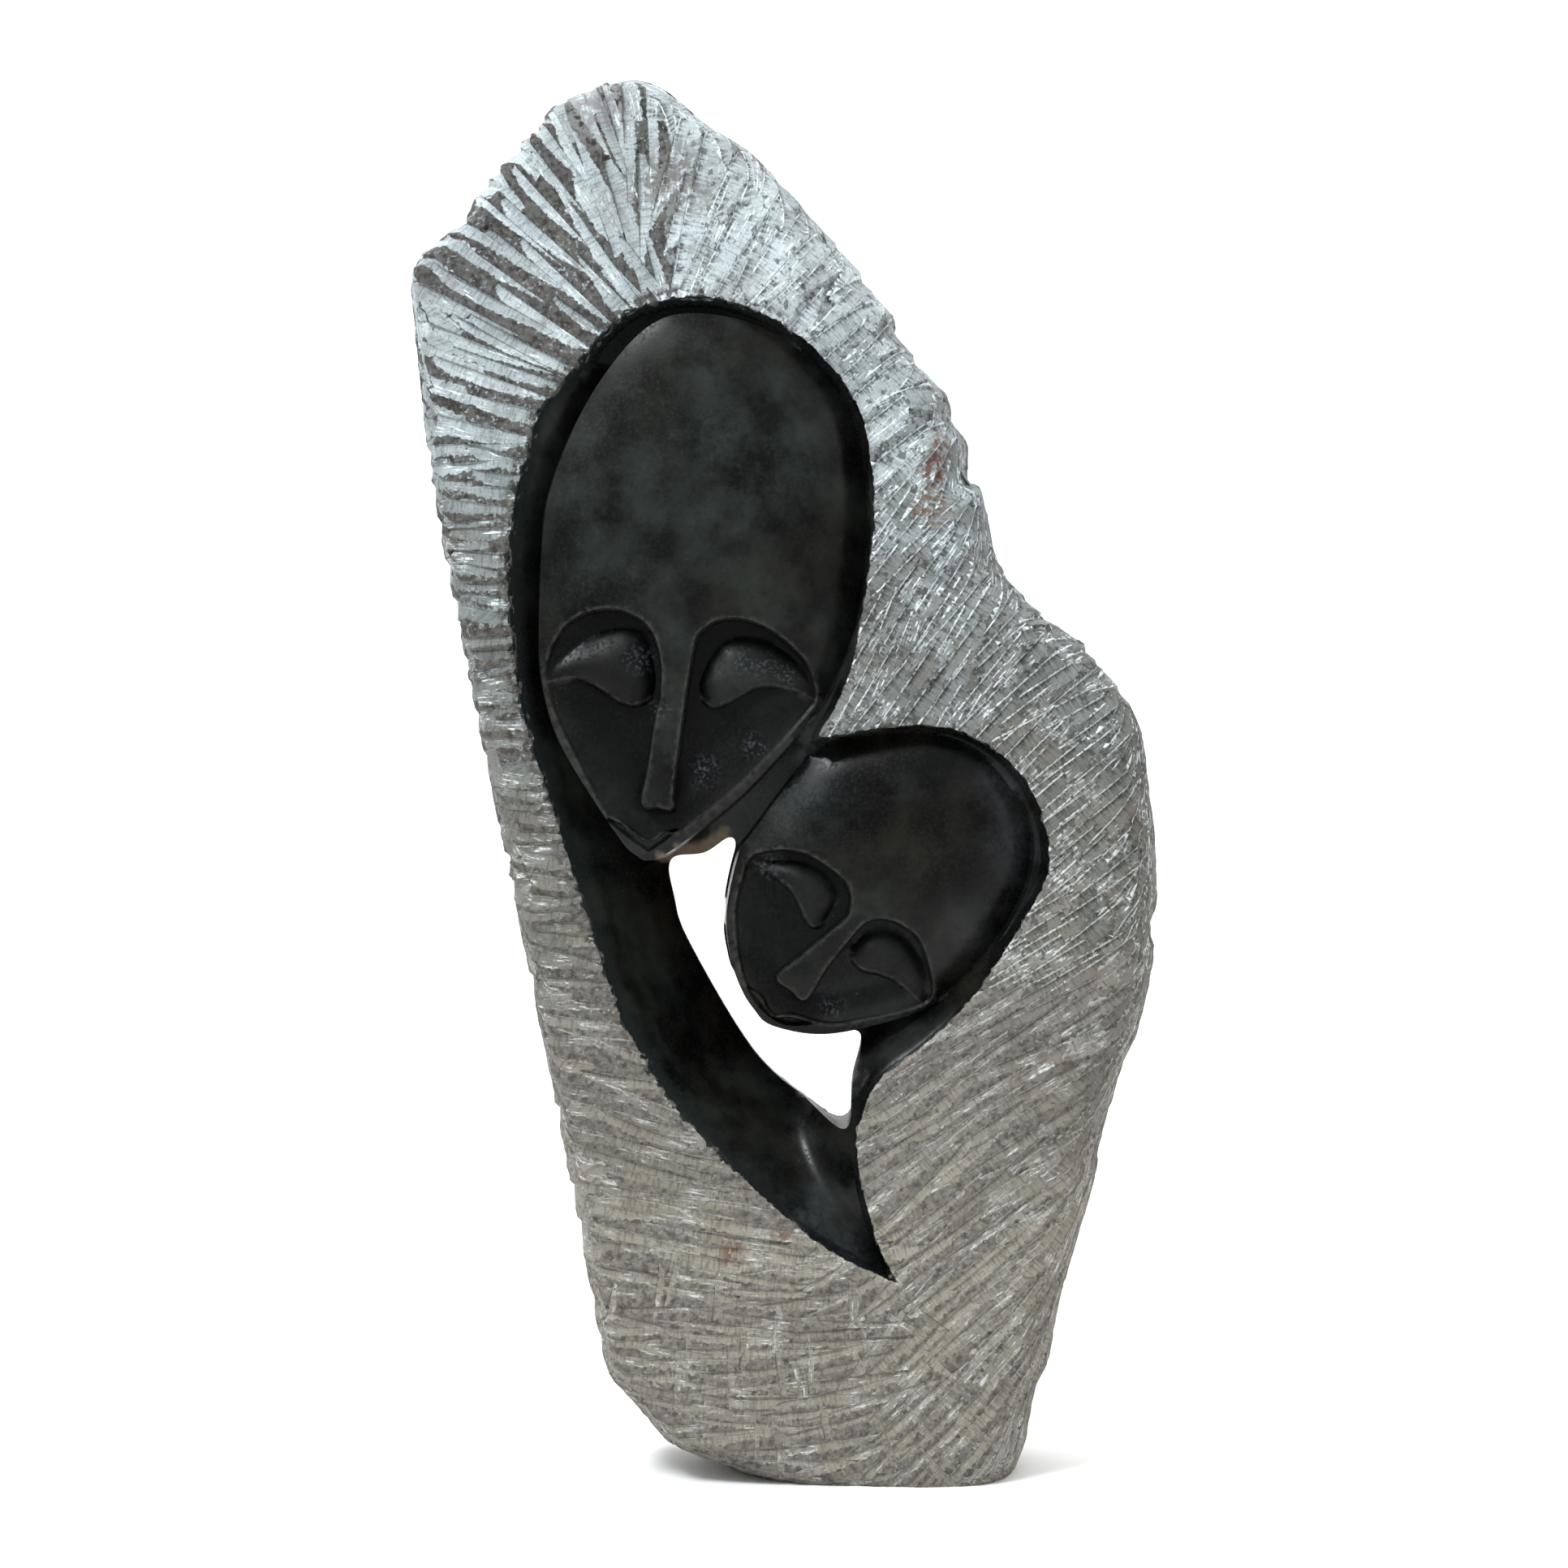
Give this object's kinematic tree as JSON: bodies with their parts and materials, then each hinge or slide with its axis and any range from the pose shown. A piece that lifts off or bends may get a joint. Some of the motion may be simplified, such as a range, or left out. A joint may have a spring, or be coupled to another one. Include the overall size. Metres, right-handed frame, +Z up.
{
  "type": "mother and child stone relief sculpture",
  "caption": "Upright dark stone slab with a rough chiselled border, carved with two polished mask-like faces over a curved opening",
  "frame": {"origin": "middle of the bounding box at the flat underside, at ground level", "axes": "+Z up along the slab's height, +Y through the slab from the carved front to the plain back, +X to the right seen from the front"},
  "size_m": [0.2842, 0.0816, 0.5272],
  "materials": {
    "stone": "polished black in the hollow and on the faces, rough pale grey tool marks on the border"
  },
  "bodies": {
    "root": {"sculpture": "stone"}
  },
  "joints": []
}
